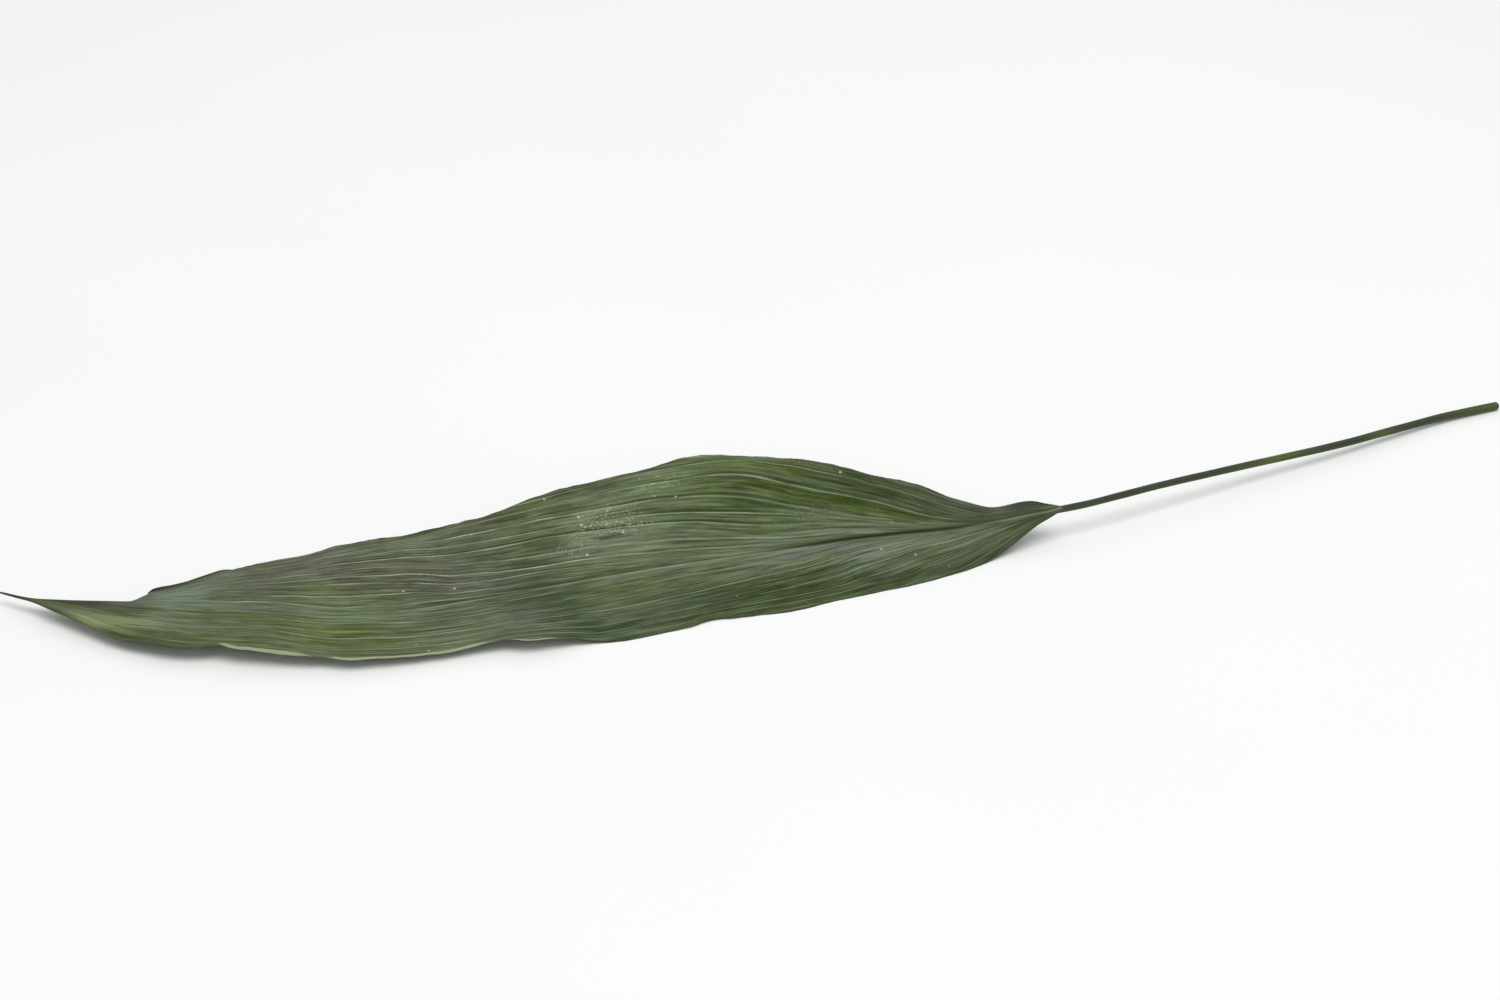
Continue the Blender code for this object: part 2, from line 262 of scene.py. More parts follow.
def along(run, table, column):
    """A table's column at each run: cubic between stations, with slopes that never overshoot."""
    xs, ys = np.array(table, float)[:, [0, column]].T
    step = np.diff(xs)
    slope = np.diff(ys) / step
    before = 2.0 * step[1:] + step[:-1]
    after = step[1:] + 2.0 * step[:-1]
    same_way = slope[:-1] * slope[1:] > 0.0
    low = np.where(same_way, slope[:-1], 1.0)
    high = np.where(same_way, slope[1:], 1.0)
    inner = np.where(same_way, (before + after) / (before / low + after / high), 0.0)
    tangent = np.concatenate([slope[:1], inner, slope[-1:]])
    i = np.clip(np.searchsorted(xs, run) - 1, 0, len(step) - 1)
    t = (run - xs[i]) / step[i]
    return (
        (2 * t**3 - 3 * t**2 + 1) * ys[i]
        + (t**3 - 2 * t**2 + t) * step[i] * tangent[i]
        + (3 * t**2 - 2 * t**3) * ys[i + 1]
        + (t**3 - t**2) * step[i] * tangent[i + 1]
    )


def ripples(x, y, length_x, length_y, seed):
    """Soft irregular waves about zero: a sum of sines with directions and phases drawn once."""
    draw = np.random.default_rng(seed)
    total = 0.0
    waves = 14
    for _ in range(waves):
        angle = draw.uniform(0.0, TAU)
        pace = draw.uniform(0.6, 1.7)
        phase = draw.uniform(0.0, TAU)
        place = math.cos(angle) * x / length_x + math.sin(angle) * y / length_y
        total = total + np.sin(TAU * pace * place + phase)
    return total / math.sqrt(waves)


def plain_width(run, side):
    """Midrib to margin along the sheet by the stations alone."""
    return np.where(side < 0, along(run, STATIONS, NEAR_WIDTH), along(run, STATIONS, FAR_WIDTH))


def half_width(run, side):
    """Midrib to margin along the sheet, with the margin's small waves and notches."""
    width = plain_width(run, side)
    fade = smoothstep(width, *OUTLINE_FADE)
    for length, height, phase in MARGIN_WAVES:
        wave = np.sin(TAU * run / length + phase + side)
        width = width + WAVE_IN_WIDTH * height * fade * wave
    for where, place, length, more in FULLER:
        width = width + more * bell(run - place, length) * (side == where)
    ragged = ripples(run, side * 40.0, 5.0, 9.0, 5)
    return width + RAGGED_MARGIN * fade * ragged


def vein_count(run, reach, width):
    """How many main veins lie between the midrib and this place, in whole numbers on a vein.

    The veins keep to the stations' width, so the margin's waves and notches cut across them.
    Between two neighbouring veins the count rises in a straight line with the reach, and beyond
    the last one it goes on rising by one for every nine hundredths of the half width.
    """
    out = np.abs(reach) * width / plain_width(run, reach)
    counts = []
    for table in (NEAR_VEINS, FAR_VEINS):
        total = 0.0
        inner = np.zeros_like(run)
        for column in range(1, len(table[0])):
            outer = along(run, table, column) / PERCENT
            gap = np.maximum(outer - inner, NARROWEST_GAP)
            total = total + np.clip((out - inner) / gap, 0.0, 1.0)
            inner = outer
        counts.append(total + np.maximum(out - inner, 0.0) / OUTER_VEIN_GAP)
    wander = VEIN_WANDER * ripples(run, reach * 50.0, 90.0, 16.0, 13)
    return np.where(reach < 0.0, *counts) + wander * smoothstep(out, 0.02, 0.08)


def vein_strengths(run, reach, count):
    """How pale each vein's line is and how deep its furrow, as they vary along the blade."""
    nearest = np.round(count)
    side = np.where(reach < 0.0, -1.0, 1.0)
    # Each vein takes a line of its own through the waves.
    own = nearest * 31.0 + side * 400.0
    pale = 0.30 + 0.30 * ripples(run, own, 95.0, 40.0, 11)
    furrow = 0.22 + 0.20 * ripples(run, own, 80.0, 40.0, 12)
    for where, vein, first, last, paler, deeper in STRONG_VEINS:
        here = between(run, first - 9.0, first + 9.0, last - 14.0, last + 14.0)
        here = here * (side == where) * (nearest == vein)
        pale = np.maximum(pale, here * paler)
        furrow = np.maximum(furrow, here * deeper)
    later = smoothstep(run, 235.0, 290.0)
    early = 1.0 - smoothstep(run, *NEAR_TIP)
    calm = 1.0 - (reach < 0.0) * (0.30 + 0.20 * later + 0.25 * early)
    return np.clip(pale, 0.0, 1.0) * calm, np.clip(furrow, 0.0, 1.0) * calm


def rest_spot(run, reach):
    """One on the flat spot that the leaf rests on, fading to zero round it."""
    past_run = smoothstep(np.abs(run - REST_RUN), REST_HALF_RUN, REST_HALF_RUN + 14.0)
    past_reach = smoothstep(np.abs(reach - REST_REACH), REST_HALF_REACH, REST_HALF_REACH + 0.12)
    return (1.0 - past_run) * (1.0 - past_reach)


def arc(start, finish, length, past):
    """Level distance and height gained on a circular arc that turns from start to finish.

    Of its whole length only the share past has been travelled.
    """
    turn = (finish - start) * past
    chord = length * past * np.sinc(turn / TAU)
    return chord * np.cos(start + 0.5 * turn), chord * np.sin(start + 0.5 * turn)


def curl(run, inward, side):
    """How far along a curled strip of its margin a point lies, and the strip's turn there."""
    into = np.zeros_like(inward)
    turn = np.zeros_like(inward)
    for where, first, last, strip, degrees in CURLED:
        here = between(run, first - 1.5, first + 4.0, last - 9.0, last) * (side == where)
        past = np.clip(strip - inward, 0.0, None) * (here > 0.0)
        into = into + past
        turn = turn + math.radians(degrees) * here * past / strip
    return into, turn


def blade_sheet(run, reach):
    """The upper skin before its veins are raised.

    A midrib curve with a line to each side of it, square to its plan. The line is two circular
    arcs that meet at the bend: the first turns from the inner to the middle rise, the second on
    to the outer rise. Slow waves and the low swell are added upward. Where a margin curls up, its
    last strip does so on an arc of its own.
    """
    side = np.where(reach < 0.0, -1.0, 1.0)
    out = np.abs(reach)
    inner, middle, outer = (
        np.radians(np.where(reach < 0.0, along(run, STATIONS, near), along(run, STATIONS, far)))
        for near, far in zip(NEAR_RISE, FAR_RISE)
    )
    bend = np.where(reach < 0.0, NEAR_BEND, along(run, STATIONS, FAR_BEND))
    width = half_width(run, side)
    first = arc(inner, middle, width * bend, np.minimum(out / bend, 1.0))
    past = np.maximum(out - bend, 0.0) / (1.0 - bend)
    second = arc(middle, outer, width * (1.0 - bend), past)
    level = first[0] + second[0]
    wave = 0.0
    for length, height, phase in MARGIN_WAVES:
        wave = wave + height * np.sin(TAU * run / (WAVE_DRAWN_OUT * length) + phase)
    lift = wave * out**3 * smoothstep(width, *WAVE_FADE)
    lift = lift + SWELL_HEIGHT * patch(run, reach, *SWELL)
    into, turn = curl(run, width * (1.0 - out), side)
    chord = into * np.sinc(turn / TAU)
    level = level + chord * np.cos(0.5 * turn) - into
    lift = lift + chord * np.sin(0.5 * turn)
    before = np.maximum(run - HEADING_STEP, 0.0)
    beyond = np.minimum(run + HEADING_STEP, BLADE_RUN)
    sideways = along(beyond, STATIONS, ACROSS) - along(before, STATIONS, ACROSS)
    heading = np.arctan2(sideways, beyond - before)
    x = run - side * level * np.sin(heading)
    y = along(run, STATIONS, ACROSS) + side * level * np.cos(heading)
    z = along(run, STATIONS, HEIGHT) + first[1] + second[1] + lift
    return np.stack([x + 0.0 * z, y + 0.0 * z, z], -1), width


def blade_relief(run, reach, width, count, gap, pale, furrow):
    """Height of the pleats, veins and furrows over the sheet, with the small dents between them."""
    across = reach * width
    grown = smoothstep(width, *PLEAT_FADE)
    lively = 1.0 - rest_spot(run, reach)
    tight = np.clip(gap / OPEN_GAP, 0.12, 1.0)
    beside = (count - np.round(count)) * gap
    later = smoothstep(run, 200.0, 300.0)
    early = 1.0 - smoothstep(run, *NEAR_TIP)
    more = np.where(reach < 0.0, -0.07 - 0.06 * later - 0.06 * early, 0.07 * later)
    pleat = (PLEAT_HEIGHT + more) * np.cos(TAU * count) * lively
    ridge = RIDGE_HEIGHT * pale * bell(beside, 0.45)
    trough = -FURROW_DEPTH * furrow * bell(beside - 1.1 * tight, 0.55 * tight)
    lines = pleat + ridge + trough
    for to_a_vein, height in FINE_RIPPLES:
        lines = lines + height * np.cos(TAU * to_a_vein * count)
    dents = 0.0
    for height, length, breadth, seed in DENTS:
        dents = dents + height * ripples(run, across, length, breadth, seed)
    deep = between(run, 322.0, 352.0, 432.0, 452.0)
    keel_line = -(0.10 + 0.55 * deep) * bell(across, 0.8)
    shoulder = (0.12 + 0.18 * deep) * bell(across + 1.9, 0.8)
    blade = lines * tight * (0.35 + 0.65 * grown) + dents * grown * lively
    midrib = (keel_line + shoulder) * smoothstep(width, 4.0, 16.0)
    return blade * smoothstep(np.abs(across), 0.5, 3.0) + midrib


def sheet_normals(points):
    """Unit normals of a grid of points, from the steps between neighbours along and across."""
    return unit(np.cross(np.gradient(points, axis=0), np.gradient(points, axis=1)))


def settle(height, lowest, softness):
    """Keeps a height above the lowest one allowed, with a soft bend where the two meet."""
    return lowest + softness * np.logaddexp(0.0, (height - lowest) / softness)


def blade_skin(run, reach):
    """Upper and lower skin of the blade, its half width, and each point's place among the veins.

    The vein gap is how many millimetres there are to one step of the vein count.
    """
    sheet, width = blade_sheet(run, reach)
    across = reach * width
    count = vein_count(run, reach, width)
    steps = np.abs(np.gradient(count, axis=1)) / np.abs(np.gradient(across, axis=1))
    gap = np.clip(1.0 / np.maximum(steps, 0.001), *GAP_LIMITS)
    pale, furrow = vein_strengths(run, reach, count)
    relief = blade_relief(run, reach, width, count, gap, pale, furrow)
    upper = sheet + sheet_normals(sheet) * relief[..., None]
    slim = smoothstep(width, 1.0, 14.0)
    rim = RIM_THICKNESS * (0.6 + 0.4 * slim)
    body = SHEET_THICKNESS * slim + RIM_THICKNESS * (1.0 - slim)
    depth = rim + (body - rim) * smoothstep(width * (1.0 - np.abs(reach)), 0.0, RIM_TAPER)
    grown = smoothstep(run, 0.0, BLADE_RUN)
    rib = RIB_DEPTH_AT_TIP + (RIB_DEPTH_AT_BASE - RIB_DEPTH_AT_TIP) * grown
    depth = depth + rib * slim * bell(across, RIB_HALF_WIDTH)
    upper[..., 2] = settle(upper[..., 2], depth, SETTLE_SOFTNESS)
    lower = upper - sheet_normals(upper) * depth[..., None]
    lower[..., 2] = np.maximum(lower[..., 2], 0.0)
    return upper, lower, width, count, gap, pale, furrow


def blade_rows():
    """Runs of the rows, closer together towards the tip and the base."""
    share = np.linspace(0.0, 1.0, BLADE_ROWS)
    return BLADE_RUN * (share - ROWS_GATHERED * np.sin(TAU * share) / TAU)


def to_frame(points):
    """Millimetres from the tip to metres from the middle of the leaf's box."""
    return (points - np.array([BOX_MIDDLE_X, BOX_MIDDLE_Y, 0.0])) * MM


def tube_faces(rows, sides):
    """Quads round a closed tube of rows, and a fan of triangles to a pole past each end."""
    row, side = np.meshgrid(np.arange(rows - 1), np.arange(sides), indexing="ij")
    ahead = (side + 1) % sides
    here = row * sides
    there = here + sides
    quads = np.stack([here + side, there + side, there + ahead, here + ahead], -1).reshape(-1, 4)
    around = np.arange(sides)
    onward = (around + 1) % sides
    last = (rows - 1) * sides
    first_pole = np.full(sides, rows * sides)
    start = np.stack([first_pole, around, onward], -1)
    end = np.stack([first_pole + 1, last + onward, last + around], -1)
    return quads, np.concatenate([start, end])


def new_object(name, data):
    """An object with this data at the origin, in the scene."""
    thing = bpy.data.objects.new(name, data)
    bpy.context.scene.collection.objects.link(thing)
    return thing


def make_piece(name, ring, poles, materials, face_material, layout):
    """A closed tube through the rings of points, with a pole at each end and its faces outward.

    The layout holds, for the quads and then the triangles, where each corner lies on the flat
    sheet that the finish is baked on.
    """
    points = to_frame(np.concatenate([ring.reshape(-1, 3), poles]))
    quads, triangles = tube_faces(*ring.shape[:2])
    halves = np.concatenate([triangles, quads[:, [0, 1, 2]], quads[:, [0, 2, 3]]])
    a, b, c = (points[halves[:, k]] for k in range(3))
    if np.einsum("ij,ij->i", a, np.cross(b, c)).sum() < 0.0:
        quads, triangles = quads[:, ::-1], triangles[:, ::-1]
        layout = [part[:, ::-1] for part in layout]
    mesh = bpy.data.meshes.new(name)
    mesh.from_pydata(points.tolist(), [], quads.tolist() + triangles.tolist())
    for material in materials:
        mesh.materials.append(material)
    mesh.polygons.foreach_set("material_index", face_material.astype(np.int32))
    mesh.shade_smooth()
    flat = mesh.uv_layers.new(name="OFBake")
    corners = np.concatenate([part.reshape(-1, 2) for part in layout])
    flat.uv.foreach_set("vector", corners.astype(np.float32).ravel())
    piece = new_object(name, mesh)
    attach(piece, "root")
    return piece


def give_attribute(piece, name, values):
    """Keeps three numbers at each vertex, the poles' too, for the materials to read."""
    values = np.stack(np.broadcast_arrays(*values), -1).reshape(-1, 3)
    values = np.concatenate([values, values[:1], values[-1:]])
    layer = piece.data.attributes.new(name, "FLOAT_VECTOR", "POINT")
    layer.data.foreach_set("vector", values.astype(np.float32).ravel())


def linear(hex_colour):
    """An sRGB hex colour as linear light with an alpha of one."""
    parts = [int(hex_colour[i : i + 2], 16) / 255.0 for i in (1, 3, 5)]
    light = (p / 12.92 if p <= 0.04045 else ((p + 0.055) / 1.055) ** 2.4 for p in parts)
    return tuple(light) + (1.0,)


# Kinds of node: type, settings, and the inputs that values go to, in the order they are given in.
TIMES = ("Math", {"operation": "MULTIPLY"}, (0, 1))
TIMES_PLUS = ("Math", {"operation": "MULTIPLY_ADD"}, (0, 1, 2))
MINUS = ("Math", {"operation": "SUBTRACT"}, (0, 1))
FRACTION = ("Math", {"operation": "FRACT"}, (0,))
SIZE_OF = ("Math", {"operation": "ABSOLUTE"}, (0,))
MIX = ("Mix", {"data_type": "RGBA"}, (0, 6, 7))
RISE = ("MapRange", {"interpolation_type": "SMOOTHSTEP"}, (0, 1, 2, 3, 4))
NOISE = ("TexNoise", {}, ("Vector", "Scale", "Detail", "Roughness"))
CELLS = ("TexVoronoi", {}, ("Vector", "Scale"))
TURN_COLOUR = ("HueSaturation", {}, ("Hue", "Saturation", "Value", "Color"))
SPLIT_COLOUR = ("SeparateColor", {}, (0,))
SPLIT = ("SeparateXYZ", {}, (0,))
JOIN = ("CombineXYZ", {}, (0, 1, 2))
KEPT = ("Attribute", {}, ())
PLACE = ("TexCoord", {}, ())
GEOMETRY = ("NewGeometry", {}, ())
BUMP = ("Bump", {}, ("Strength", "Distance", "Height"))


def first_output(node):
    """The first of a node's outputs that is in use."""
    return next(output for output in node.outputs if output.enabled)


def add(tree, kind, *values, **more_settings):
    """One node with its settings and links.

    A value is a number, a colour, a socket, or a node, which is linked by its first output.
    """
    name, settings, inputs = kind
    node = tree.nodes.new("ShaderNode" + name)
    for key, value in {**settings, **more_settings}.items():
        setattr(node, key, value)
    for key, value in zip(inputs, values):
        if isinstance(value, bpy.types.Node):
            value = first_output(value)
        if isinstance(value, bpy.types.NodeSocket):
            tree.links.new(value, node.inputs[key])
        else:
            node.inputs[key].default_value = value
    return node


def start_material(name):
    """A new material, its tree to build on, and its shader."""
    material = bpy.data.materials.new(name)
    material.use_nodes = True
    return material, material.node_tree, material.node_tree.nodes["Principled BSDF"]


def lay_over(tree, tone, layers):
    """The tone with layers of colour over it, each as strong as its shares' product."""
    for colour, share, *more in layers:
        for factor in more:
            share = add(tree, TIMES, share, factor)
        tone = add(tree, MIX, share, tone, linear(colour))
    return tone


def finish_material(tree, shader, tone, rough, height, depth, plain):
    """Colour, roughness, bump and plain numbers on the shader; depth is the bump's, in metres."""
    bump = add(tree, BUMP, 1.0, depth, height)
    for node, name in ((tone, "Base Color"), (rough, "Roughness"), (bump, "Normal")):
        tree.links.new(first_output(node), shader.inputs[name])
    for name, value in plain.items():
        shader.inputs[name].default_value = value


def numbers(tree, name):
    """The three numbers that a piece keeps at each vertex under this name."""
    kept = add(tree, KEPT, attribute_name=name).outputs["Vector"]
    return add(tree, SPLIT, kept).outputs


def vein_line(tree, count, gap, lines, offset, half_line):
    """A thin line on every vein: one on it, zero half_line millimetres away.

    lines is how many lines share one vein gap, and offset moves them outward in millimetres.
    """
    scaled = add(tree, TIMES_PLUS, count, lines, 0.5)
    beside = add(tree, MINUS, add(tree, FRACTION, scaled), 0.5)
    spacing = add(tree, TIMES, gap, 1.0 / lines)
    away = add(tree, SIZE_OF, add(tree, TIMES_PLUS, beside, spacing, -offset))
    return add(tree, RISE, away, LINE_CORE * half_line, half_line, 1.0, 0.0)


def streaks(tree, run, across, length, lines, seed):
    """Noise drawn out along the leaf: length millimetres long, lines to one step across."""
    along_it = add(tree, TIMES, run, 1.0 / length)
    across_it = add(tree, TIMES, across, lines)
    return add(tree, NOISE, add(tree, JOIN, along_it, across_it, seed), 1.0, 3.0, 0.6)


# Colours of the leaf, as sRGB.
BASE_GREEN = "#4b5533"
BASE_PALER = "#59633f"
BLOOM_AND_SHEEN_GREY = "#6e7a5a"
FRESH_GREEN = "#53652f"
YOUNG_GREEN = "#4e5c1d"
LILAC_GREY = "#565549"
BLUE_GREY = "#69756c"
COOL_GREEN = "#33442f"
SHADE_GREEN = "#2a390c"
CREAM_GREEN = "#989f70"
STREAK_DARK = "#232d17"
STREAK_PALE = "#77836a"
FURROW_DARK = "#263018"
VEIN_PALE = "#a0ab8a"
MIDRIB_PALE = "#929b81"
MIDRIB_YOUNG = "#839247"
RIM_PALE = "#b0b995"
EDGE_DARK = "#2a2d29"
DUST_WHITE = "#b4bfa8"
UNDER_GREEN = "#55642f"
UNDER_GREY = "#646f4e"
RIND_SHEEN_GREY = "#3a4133"
RIND_FRESH = "#485331"
RIND_YELLOW = "#5c6a33"
PITH_PALE = "#a3ac74"
PITH_BUNDLE = "#75824a"
BOARD_WHITE = "#f2f2f0"
BOARD_SHADE = "#e9e9e6"

# How light bends in a waxy skin, how little of it that throws back, and the duller underside.
WAXY = {"IOR": 1.45, "Specular IOR Level": 0.12}
DULL = {"IOR": 1.42}

# Vein lines: how many to a gap, how far outward of the vein and how wide to each side, and the
# part of that width that has the full colour.
LINE_CORE = 0.2
SMALL_LINE = (4.0, 0.0, 0.3)
FURROW_LINE = (1.0, 1.3, 1.1)
CREST_LINE = (1.0, 0.0, 0.6)

# Sizes of grains, specks, pores, bundles and fibres, as cells to the metre.
DUST_GRAINS = 800.0
DUST_SPECKS = 220.0
RIND_PORES = 420.0
PITH_BUNDLES = 1500.0
PITH_FIBRES = 3200.0

# Bump heights in metres.
SKIN_RELIEF = 0.00022
UNDERSIDE_RELIEF = 0.00025
RIND_RELIEF = 0.0002


def make_cuticle():
    """Waxy upper cuticle of a monocot leaf, grown in long parallel cells.

    It gives the eye a deep satin green under a thin grey waxy film, crossed by pale veins, dark
    furrows and fine drawn-out streaks. The film's grey is partly a painted sheen where the blade
    turns up to the light, lilac and blue-grey patches add more painted sheen, and the shade
    patches, furrows and dark edges are painted shade.
    """
    material, tree, shader = start_material("waxy_leaf_cuticle")
    run, count, gap = numbers(tree, "leaf_place")
    pale, furrow, midrib = numbers(tree, "leaf_lines")
    young, lilac, cool = numbers(tree, "leaf_tints_and_sheen")
    fresh, blue, cream = numbers(tree, "leaf_flushes_and_sheen")
    bloom_and_sheen, shade, dust = numbers(tree, "leaf_films_sheen_and_shade")
    rim, edge, scar = numbers(tree, "leaf_rim_edge_and_scar")

    # Clouds of tone 40 mm long, streaks some 5, 2.4 and 1.1 mm wide that run with the veins, and a
    # short mottle in which they come and go.
    clouds = streaks(tree, run, count, 40.0, 0.45, 1.0)
    broad = streaks(tree, run, count, 62.0, 1.0, 2.0)
    narrow = streaks(tree, run, count, 44.0, 2.8, 3.0)
    fine = streaks(tree, run, count, 22.0, 6.0, 4.0)
    mottle = streaks(tree, run, count, 16.0, 1.1, 5.0)

    clouded = add(tree, RISE, clouds, 0.42, 0.58)
    tone = add(tree, MIX, clouded, linear(BASE_GREEN), linear(BASE_PALER))
    streaky = add(tree, RISE, narrow, 0.38, 0.6, 0.65, 1.0)
    cloudy = add(tree, RISE, broad, 0.38, 0.6, 1.0, 0.68)
    # Layers of tint. The bloom is partly a painted sheen, the lilac partly a painted sheen, the
    # blue-grey a painted sheen, and the shade partly a deep olive and partly painted shade.
    tints_and_painted_light = (
        (BLOOM_AND_SHEEN_GREY, bloom_and_sheen, streaky),
        (FRESH_GREEN, fresh, streaky),
        (YOUNG_GREEN, young, cloudy),
        (LILAC_GREY, lilac, cloudy),
        (BLUE_GREY, blue, streaky),
        (COOL_GREEN, cool, cloudy),
        (CREAM_GREEN, cream, streaky),
        (SHADE_GREEN, shade, cloudy),
    )
    tone = lay_over(tree, tone, tints_and_painted_light)

    # Each streak is a little lighter or darker, fuller or greyer, yellower or bluer than the next.
    light = -1.27
    for noise, change in ((broad, 0.5), (mottle, 0.95), (narrow, 1.1), (fine, 2.1)):
        light = add(tree, TIMES_PLUS, noise, change, light)
    full = add(tree, TIMES_PLUS, broad, -1.4, 1.63)
    turned = add(tree, TIMES_PLUS, narrow, 0.14, 0.43)
    tone = add(tree, TURN_COLOUR, turned, full, light, tone)

    # Dark and pale streaks in places, the pale ones fewer where the leaf is in shade.
    open_green = add(tree, TIMES_PLUS, shade, -0.75, 1.0)
    in_places = add(tree, RISE, mottle, 0.4, 0.58, 0.35, 1.25)
    for noise, most_dark, most_pale in ((narrow, 0.4, 0.3), (fine, 0.42, 0.38)):
        dark = (STREAK_DARK, add(tree, RISE, noise, 0.44, 0.36, 0.0, most_dark), in_places)
        pale_ones = add(tree, RISE, noise, 0.58, 0.65, 0.0, most_pale)
        tone = lay_over(tree, tone, (dark, (STREAK_PALE, pale_ones, in_places, open_green)))

    # Small veins four to a gap, then each main vein: a furrow of painted shade on its outer side
    # and a pale crest, partly a painted highlight. The scar mark also carries the groove's painted
    # shade, the rim is partly a painted highlight and the edge a painted shade.
    shown = add(tree, RISE, mottle, 0.42, 0.6, 0.0, 0.5)
    shown = add(tree, TIMES, shown, add(tree, RISE, gap, 1.5, 5.0, 0.35, 1.0))
    broken = add(tree, RISE, fine, 0.42, 0.56, 0.35, 1.0)
    lines = (
        (STREAK_PALE, vein_line(tree, count, gap, *SMALL_LINE), shown),
        (FURROW_DARK, vein_line(tree, count, gap, *FURROW_LINE), furrow),
        (VEIN_PALE, vein_line(tree, count, gap, *CREST_LINE), pale, broken),
        (MIDRIB_PALE, midrib, broken),
        (FURROW_DARK, scar),
        (RIM_PALE, rim),
        (EDGE_DARK, edge),
    )
    tone = lay_over(tree, tone, lines)

    # Wax and dust rubbed into pale grains 0.5 mm across, thick in some patches and thin elsewhere,
    # and single white specks of about 1 mm, drawn large enough to show.
    place = add(tree, PLACE).outputs["Object"]
    grain = add(tree, NOISE, place, DUST_GRAINS, 3.0, 0.75)
    grains = add(tree, RISE, grain, 0.54, 0.61, 0.05, 1.0)
    haze = (DUST_WHITE, dust, dust, grains, add(tree, RISE, fine, 0.4, 0.56, 0.25, 1.0))
    cells = add(tree, CELLS, place, DUST_SPECKS)
    likely = add(tree, TIMES_PLUS, dust, 0.8, add(tree, SPLIT_COLOUR, cells.outputs["Color"]))
    picked = add(tree, RISE, likely, 0.99, 1.01, 0.0, 0.8)
    ragged = add(tree, TIMES_PLUS, grain, 0.35, cells)
    speck = (DUST_WHITE, add(tree, RISE, ragged, 0.37, 0.27), picked)
    tone = lay_over(tree, tone, (haze, speck))

    # The dust scatters, so it is rougher than the green around it.
    rough = add(tree, TIMES_PLUS, dust, 0.2, add(tree, TIMES_PLUS, narrow, 0.2, 0.34))
    skin = add(tree, TIMES_PLUS, grain, 0.25, add(tree, TIMES_PLUS, fine, 0.7, narrow))
    finish_material(tree, shader, tone, rough, skin, SKIN_RELIEF, WAXY)
    return material


def make_underside():
    """Lower epidermis: paler and duller than the upper skin, with the veins as low pale ribs."""
    material, tree, shader = start_material("matt_leaf_underside")
    run, count, gap = numbers(tree, "leaf_place")
    pale, _, midrib = numbers(tree, "leaf_lines")
    rim, edge, _ = numbers(tree, "leaf_rim_edge_and_scar")
    broad = streaks(tree, run, count, 60.0, 1.9, 6.0)
    fine = streaks(tree, run, count, 30.0, 6.0, 7.0)
    uneven = add(tree, RISE, broad, 0.3, 0.7)
    tone = add(tree, MIX, uneven, linear(UNDER_GREEN), linear(UNDER_GREY))
    strength = add(tree, TIMES_PLUS, pale, 0.5, 0.35)
    ribs = add(tree, TIMES, vein_line(tree, count, gap, *CREST_LINE), strength)
    # The rim is partly a painted highlight and the edge a painted shade, as on the upper skin.
    lines = (
        (STREAK_DARK, add(tree, RISE, fine, 0.46, 0.3, 0.0, 0.6)),
        (VEIN_PALE, vein_line(tree, count, gap, *SMALL_LINE), 0.3),
        (VEIN_PALE, ribs),
        (MIDRIB_YOUNG, midrib),
        (RIM_PALE, rim),
        (EDGE_DARK, edge),
    )
    tone = lay_over(tree, tone, lines)
    rough = add(tree, TIMES_PLUS, fine, 0.2, 0.5)
    skin = add(tree, TIMES_PLUS, ribs, 1.2, fine)
    finish_material(tree, shader, tone, rough, skin, UNDERSIDE_RELIEF, DULL)
    return material


def make_rind():
    """Petiole rind: tough, smooth and faintly ribbed, yellower below and grey-green on top, where
    the grey is a painted sheen.
    """
    material, tree, shader = start_material("petiole_rind")
    run, turn, fresh = numbers(tree, "petiole_place")
    broad = streaks(tree, run, turn, 45.0, 1.6, 8.0)
    fine = streaks(tree, run, turn, 30.0, 7.0, 9.0)
    # Upward-facing rind is painted greyer, a painted sheen.
    facing = add(tree, SPLIT, add(tree, GEOMETRY).outputs["Normal"])
    up = add(tree, RISE, facing.outputs["Z"], -0.5, 0.6)
    tone = add(tree, MIX, up, linear(RIND_FRESH), linear(RIND_SHEEN_GREY))
    uneven = add(tree, RISE, broad, 0.3, 0.6, 0.4, 1.0)
    pores = add(tree, CELLS, add(tree, PLACE).outputs["Object"], RIND_PORES)
    layers = (
        (RIND_YELLOW, fresh, uneven),
        (STREAK_DARK, add(tree, RISE, fine, 0.47, 0.3, 0.0, 0.65)),
        (STREAK_PALE, add(tree, RISE, fine, 0.55, 0.72, 0.0, 0.5)),
        (STREAK_PALE, add(tree, RISE, pores, 0.16, 0.06, 0.0, 0.35)),
    )
    tone = lay_over(tree, tone, layers)
    rough = add(tree, TIMES_PLUS, fine, 0.2, 0.34)
    finish_material(tree, shader, tone, rough, fine, RIND_RELIEF, WAXY)
    return material


def make_cut_pith():
    """Freshly cut petiole end: pale moist pith, dotted with the ends of its darker vein bundles."""
    material, tree, shader = start_material("cut_petiole_pith")
    place = add(tree, PLACE).outputs["Object"]
    bundles = add(tree, CELLS, place, PITH_BUNDLES)
    fibres = add(tree, NOISE, place, PITH_FIBRES, 3.0)
    ground = add(tree, RISE, bundles, 0.12, 0.42)
    tone = add(tree, MIX, ground, linear(PITH_BUNDLE), linear(PITH_PALE))
    fibre = (PITH_BUNDLE, add(tree, RISE, fibres, 0.4, 0.7, 0.0, 0.4))
    tone = lay_over(tree, tone, (fibre,))
    rough = add(tree, TIMES_PLUS, fibres, 0.2, 0.35)
    finish_material(tree, shader, tone, rough, bundles, RIND_RELIEF, {})
    return material


